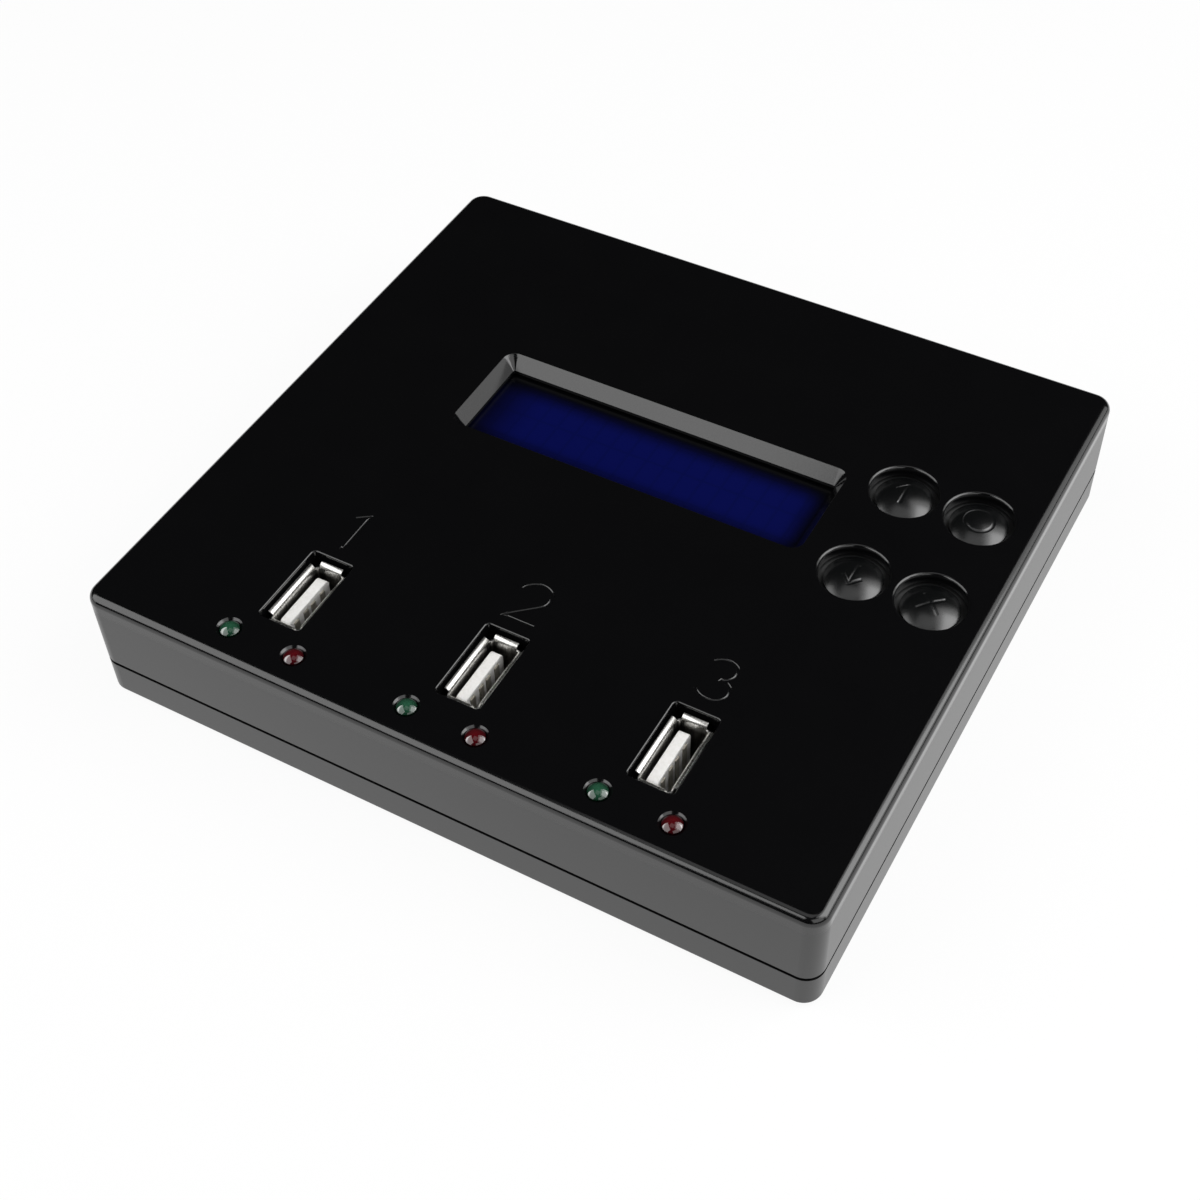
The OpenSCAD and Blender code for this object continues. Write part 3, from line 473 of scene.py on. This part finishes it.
def makeSocketPiece(node, name, edge, material):
    piece = welded(node, name)
    useModifier(piece, "BEVEL", width=edge * mm, segments=3, limit_method="ANGLE",
                angle_limit=radians(socket["sharp"]), use_clamp_overlap=True)
    smooth(piece, socket["smooth"])
    dress(piece, "case", material, node)


for number in socketNumbers:
    makeSocketPiece(f"usb_shell_{number}", f"socketShell{number}", socket["lip"], nickelSteel)
    makeSocketPiece(f"usb_insulator_{number}", f"socketTongue{number}", socket["tongueEdge"], whitePolymer)
print("sockets made")

# Lights: cast lenses with a low dome over a straight barrel and a foot flange
lens = {"flange": 1.0, "reach": 0.4, "curve": 2.2, "edge": 0.12}


def makeLens(name, node, material):
    low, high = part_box(node)
    size = {k: v * mm for k, v in lens.items()}
    top = Vector(((low.x + high.x) / 2, (low.y + high.y) / 2, high.z))
    flange = (high.x - low.x) / 2
    barrel = flange - size["reach"]
    shoulder = high.z - size["curve"] + sqrt(size["curve"] ** 2 - barrel ** 2)
    shelf = low.z + size["flange"]
    profile = [(barrel, shoulder), (barrel, shelf), (flange, shelf), (flange, low.z)]
    piece = domedPiece(name, top, size["curve"], profile, size["edge"], segments=64, rings=96)
    smooth(piece)
    dress(piece, "case", material, node)


for number in socketNumbers:
    makeLens(f"greenLens{number}", f"led_green_{number}", greenEpoxy)
    makeLens(f"redLens{number}", f"led_red_{number}", redEpoxy)
print("lights made")

# Display: a dark border printed round a deep blue field of faint character cells, under clear glass, with
# painted shade that darkens the blue towards each side. Each side has the place, from the middle of the
# glass, where the blue starts, and how far on the painted shade has faded and the blue is full.
display = {"blue": "#050a46", "deep": "#040941", "borderAndShade": "#020203", "cell": (3.55, 5.94), "gap": 0.25,
           "left": (-34.5, 13.0), "right": (32.0, -5.0), "front": (-9.3, 5.0), "back": (7.8, -5.0),
           "roughness": 0.3, "ior": 1.3}


def displayMaterial():
    # Blue negative liquid crystal behind polarised glass: dark and even, with its unlit cells just showing,
    # and an anti-glare film that scatters and weakens what the glass mirrors
    material, tree, shader, place = newMaterial("blue liquid crystal under glass")
    low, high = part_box("lcd_glass")
    middle = (low + high) / 2
    centred = addNode(tree, "ShaderNodeMapping", {"Vector": place}, Location=(-middle.x, -middle.y, 0))
    axis = addNode(tree, "ShaderNodeSeparateXYZ", {"Vector": centred.outputs["Vector"]})
    inside = None
    # each side's fade is painted shade, darkening the blue from full down to the border colour
    for side, letter in (("left", "X"), ("right", "X"), ("front", "Y"), ("back", "Y")):
        edge, shadeFade = display[side]
        share = remap(tree, axis.outputs[letter], edge * mm, (edge + shadeFade) * mm, kind="SMOOTHSTEP")
        if inside is None:
            inside = share
        else:
            both = addNode(tree, "ShaderNodeMath", {0: inside, 1: share}, operation="MULTIPLY")
            inside = both.outputs["Value"]
    cells = addNode(tree, "ShaderNodeTexBrick", {"Vector": centred.outputs["Vector"]}, offset=0.0, Scale=1.0)
    cells.inputs["Brick Width"].default_value = display["cell"][0] * mm
    cells.inputs["Row Height"].default_value = display["cell"][1] * mm
    cells.inputs["Mortar Size"].default_value = display["gap"] * mm
    cells.inputs["Color1"].default_value = toLinear(display["blue"])
    cells.inputs["Color2"].default_value = toLinear(display["blue"])
    cells.inputs["Mortar"].default_value = toLinear(display["deep"])
    # the printed border's colour also serves as the painted shade over the fades
    field = colourMix(tree, inside, cells.outputs["Color"], display["borderAndShade"])
    tree.links.new(field, shader.inputs["Base Color"])
    shader.inputs["Roughness"].default_value = display["roughness"]
    shader.inputs["IOR"].default_value = display["ior"]
    return material


liquidCrystal = displayMaterial()
print("display made")

# Nodes whose solids are right as they are
finishes = {
    "lower_case": caseAbs, "main_board": greenBoard, "case_screws": blackScrew, "board_screws": tinPlate,
    "feet": footRubber, "lcd_board": blueBoard, "lcd_frame": blackPaint, "lcd_glass": liquidCrystal,
    "lcd_backlight": lightGuide, "lcd_header": blackNylon, "lcd_pins": goldContact, "lcd_screws": tinPlate,
    "led_spacers": naturalNylon, "led_leads": tinPlate, "switch_legs": tinPlate, "jack_housing": blackNylon,
    "jack_pin": tinPlate, "jack_contact": tinPlate, "controller_chip": chipEpoxy,
    "controller_leads": tinPlate, "memory_chip": chipEpoxy, "memory_leads": tinPlate, "crystal": tinPlate,
    "capacitors": tinPlate, "inductor": ferrite,
}
for number in socketNumbers:
    finishes[f"usb_contacts_{number}"] = goldContact
for sign in keyNames:
    finishes["plunger_" + sign] = blackNylon
    finishes["switch_" + sign] = blackNylon
for name, material in finishes.items():
    paint(nodes[name], material)
print("finishes set:", len(finishes))

# Floor and light, in metres: a white sweep, broad softboxes to the left and right with small ones beside
# them, and a weak one overhead
studio = {"floor": 8.0, "white": "#f2f2f2", "clear": 0.92, "room": 0.012}
softboxes = {
    "left": {"azimuth": -47, "elevation": 42, "away": 0.62, "size": (0.74, 0.51), "watts": 2.96},
    "leftLow": {"azimuth": -58, "elevation": 13, "away": 0.62, "size": (0.3, 0.14), "watts": 0.2},
    "right": {"azimuth": 116, "elevation": 40, "away": 0.62, "size": (0.7, 0.78), "watts": 2.3},
    "rightCore": {"azimuth": 112, "elevation": 41, "away": 0.6, "size": (0.42, 0.46), "watts": 1.7},
    "front": {"azimuth": 58, "elevation": 32, "away": 0.62, "size": (0.46, 0.36), "watts": 0.7},
    "over": {"azimuth": 0, "elevation": 86, "away": 0.9, "size": (0.5, 0.5), "watts": 0.5},
}


def addFloor():
    # Matt white paper that shows the eye, metal and glass an even white, and keeps the object's shadow
    clearSelection()
    bpy.ops.mesh.primitive_plane_add(size=studio["floor"])
    floor = named("floor")
    material = bpy.data.materials.new("white paper sweep")
    material.use_nodes = True
    tree = material.node_tree
    tree.nodes.clear()
    paper = addNode(tree, "ShaderNodeBsdfDiffuse", Color=toLinear(studio["white"]))
    glow = addNode(tree, "ShaderNodeEmission", Strength=1.0)
    path = addNode(tree, "ShaderNodeLightPath").outputs
    mirrored = addNode(tree, "ShaderNodeMath", {0: path["Is Glossy Ray"], 1: path["Is Transmission Ray"]},
                       operation="MAXIMUM")
    either = addNode(tree, "ShaderNodeMath", {0: path["Is Camera Ray"], 1: mirrored.outputs[0]},
                     operation="MAXIMUM")
    seen = addNode(tree, "ShaderNodeMath", {0: either.outputs[0]}, operation="MULTIPLY")
    seen.inputs[1].default_value = studio["clear"]
    whole = addNode(tree, "ShaderNodeMixShader",
                    {0: seen.outputs[0], 1: paper.outputs[0], 2: glow.outputs[0]})
    addNode(tree, "ShaderNodeOutputMaterial", {"Surface": whole.outputs[0]})
    floor.data.materials.append(material)


def addSoftbox(name, box):
    toward = outward(box["azimuth"], box["elevation"])
    lamp = bpy.data.lights.new(name, "AREA")
    lamp.shape = "RECTANGLE"
    lamp.size, lamp.size_y = box["size"]
    lamp.energy = box["watts"]
    holder = bpy.data.objects.new(name, lamp)
    bpy.context.scene.collection.objects.link(holder)
    holder.location = toward * box["away"]
    holder.rotation_euler = toward.to_track_quat("Z", "Y").to_euler()


addFloor()
for name, box in softboxes.items():
    addSoftbox(name + "Softbox", box)
world = bpy.data.worlds.new("dim room")
world.use_nodes = True
world.node_tree.nodes["Background"].inputs["Color"].default_value = [studio["room"]] * 3 + [1]
bpy.context.scene.world = world
bpy.context.scene.view_settings.view_transform = "Standard"
print("floor and light set")
